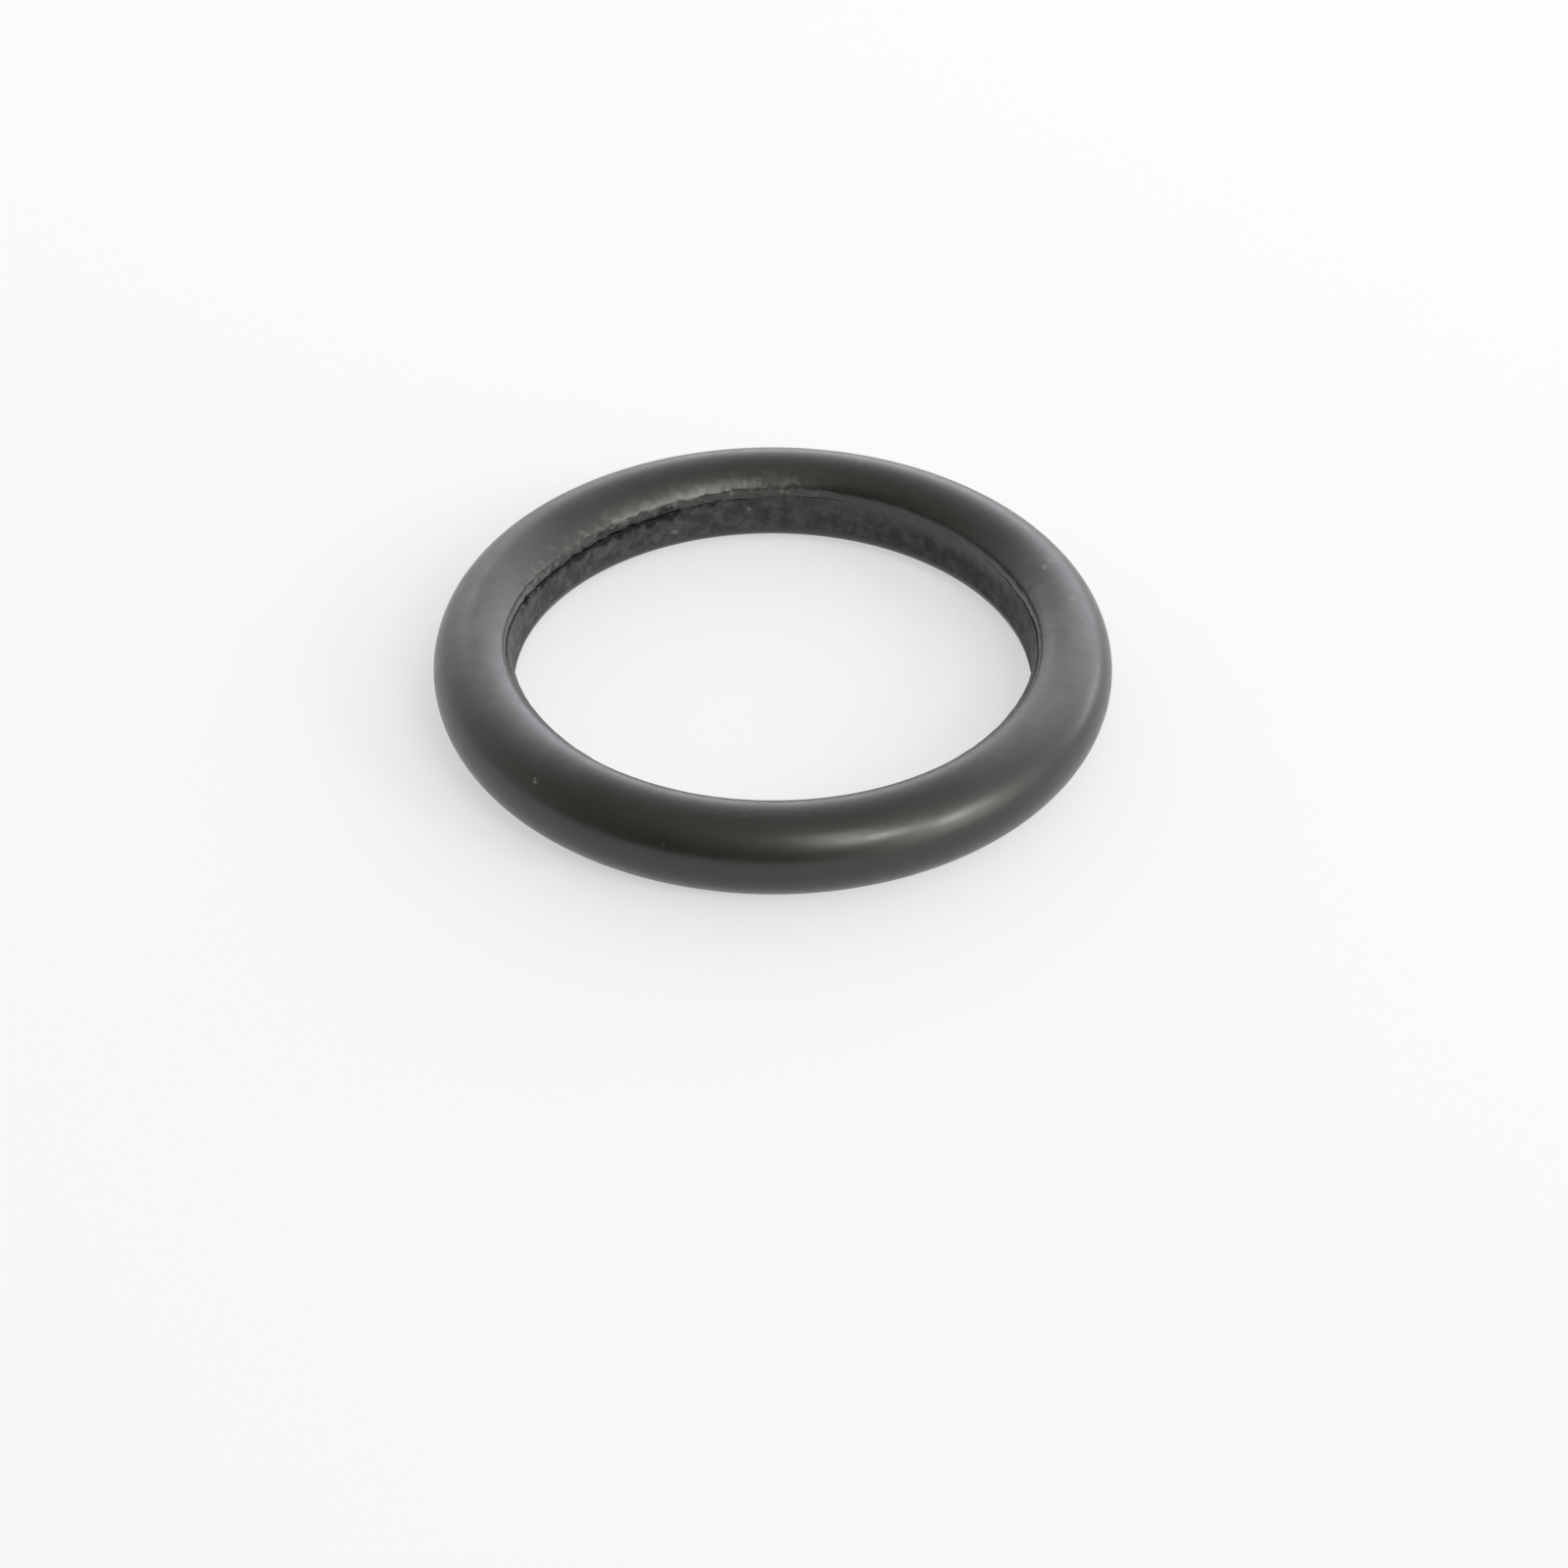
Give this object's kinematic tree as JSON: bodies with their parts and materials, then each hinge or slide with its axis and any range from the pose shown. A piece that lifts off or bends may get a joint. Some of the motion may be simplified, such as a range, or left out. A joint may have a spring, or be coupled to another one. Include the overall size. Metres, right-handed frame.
{
  "type": "o-ring",
  "caption": "Black rubber sealing ring of round cord, with its bore side trimmed flat below a shallow groove; seals a joint between two round parts.",
  "frame": {"origin": "centre of the ring, on the surface that it lies on", "axes": "+Z along the ring's axis, up from the surface; +X and +Y lie in the ring's plane, and the camera of the picture looks along +Y and down"},
  "size_m": [0.03, 0.03, 0.004],
  "materials": {
    "black_rubber": "satin"
  },
  "bodies": {
    "root": {"o_ring": "black_rubber"}
  },
  "joints": []
}
